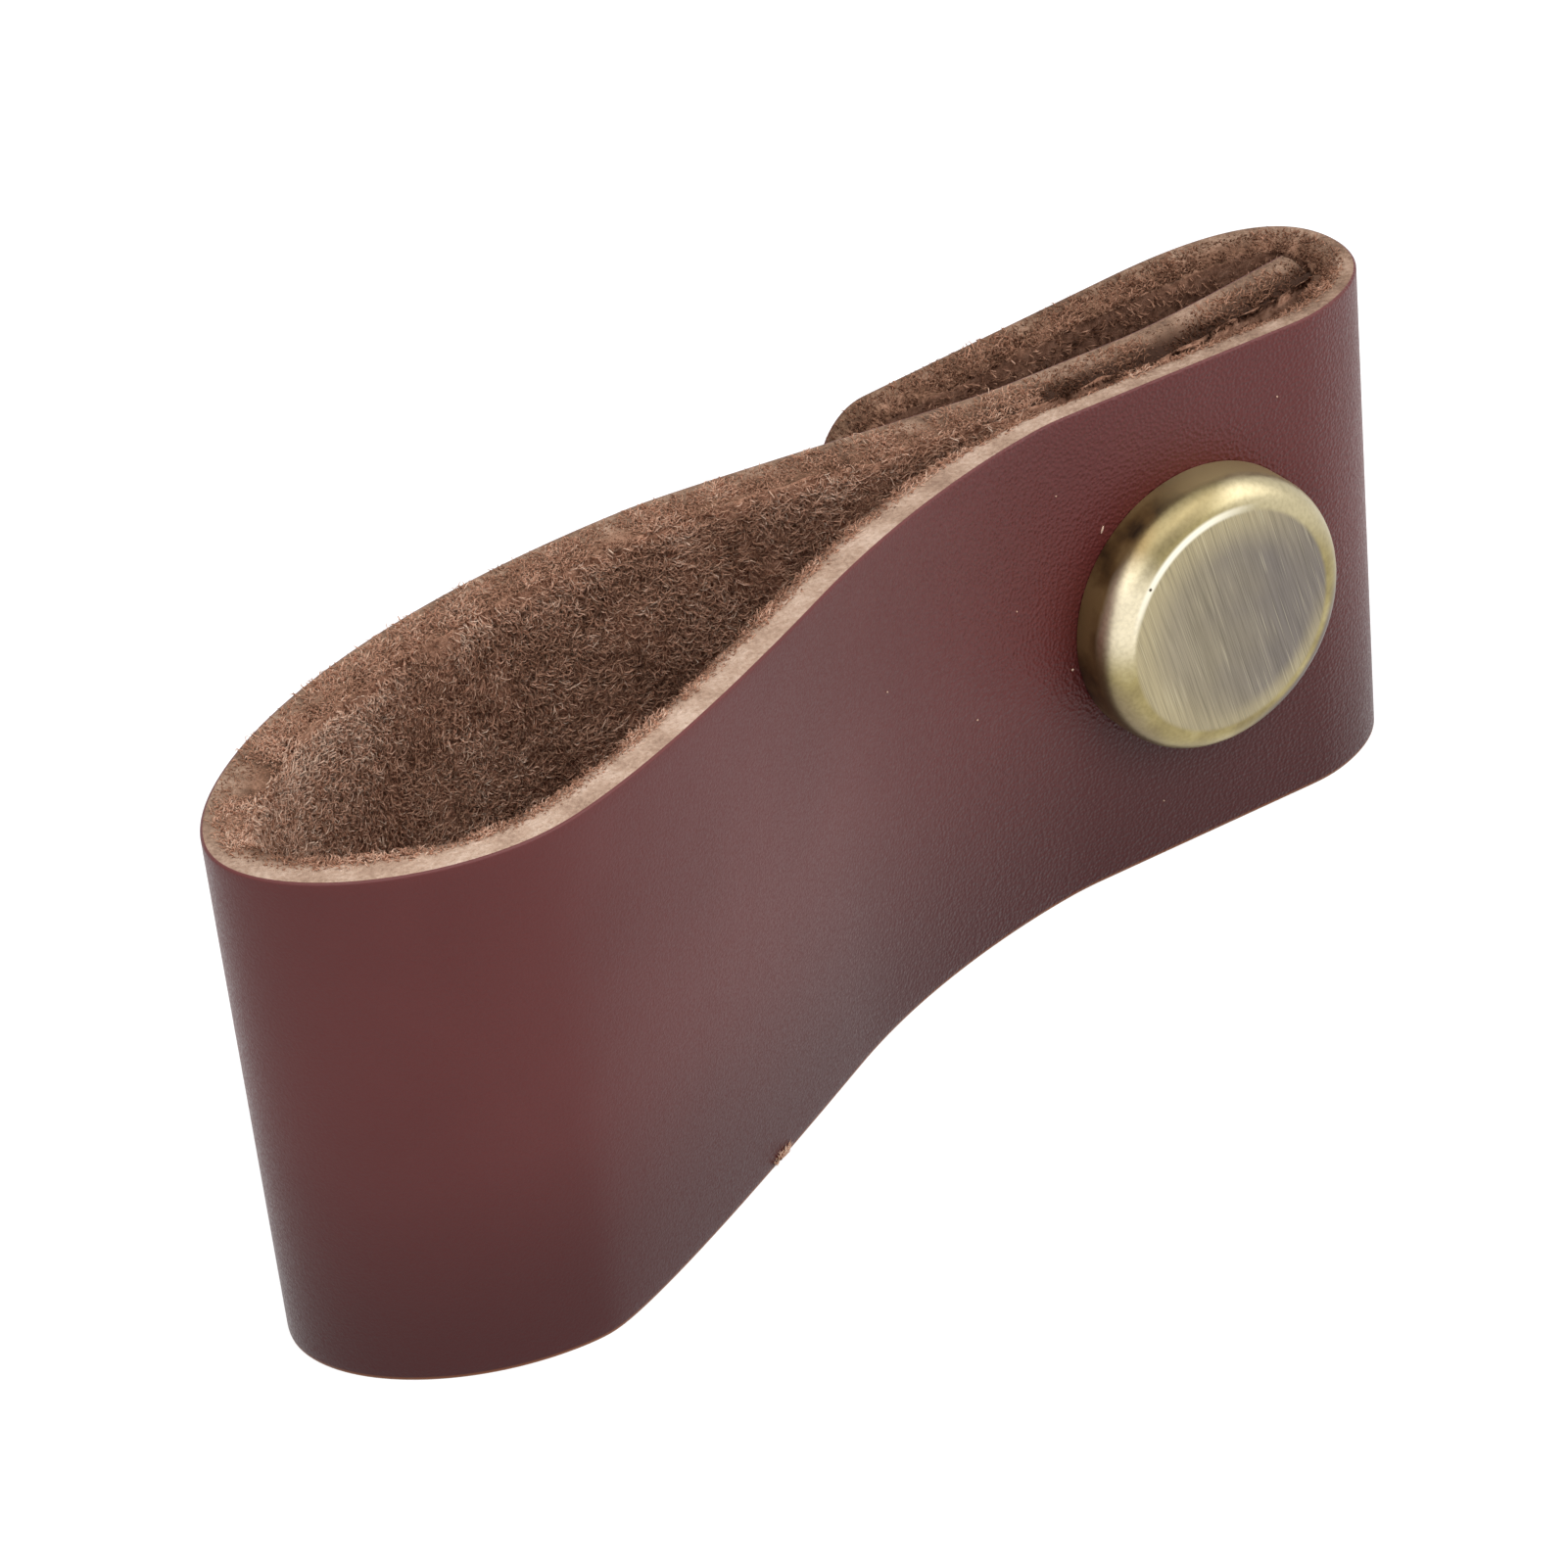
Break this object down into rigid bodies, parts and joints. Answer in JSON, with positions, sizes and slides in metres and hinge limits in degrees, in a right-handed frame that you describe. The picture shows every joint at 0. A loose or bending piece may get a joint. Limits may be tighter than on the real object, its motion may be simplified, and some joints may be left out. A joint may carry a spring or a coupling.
{
  "type": "leather cabinet pull",
  "caption": "Folded leather strap pull: a finger loop closed by a round brass button at one end, with a machine screw through its flap for fixing to a drawer front.",
  "frame": {"origin": "under the middle of the pull's bounding box, on the surface that its lower long edge stands on", "axes": "+X along the pull from the finger loop towards the fold, +Y from the button back towards the drawer front, +Z across the strap's width"},
  "size_m": [0.0804, 0.0428, 0.03],
  "materials": {
    "strap_leather": "smooth waxed grain outside, brushed suede inside, raw cut edges",
    "button_brass": "antique, brushed",
    "screw_steel": "bright zinc plated"
  },
  "bodies": {
    "root": {"leather_strap": "strap_leather", "button": "button_brass", "fixing_screw": "screw_steel"}
  },
  "joints": []
}
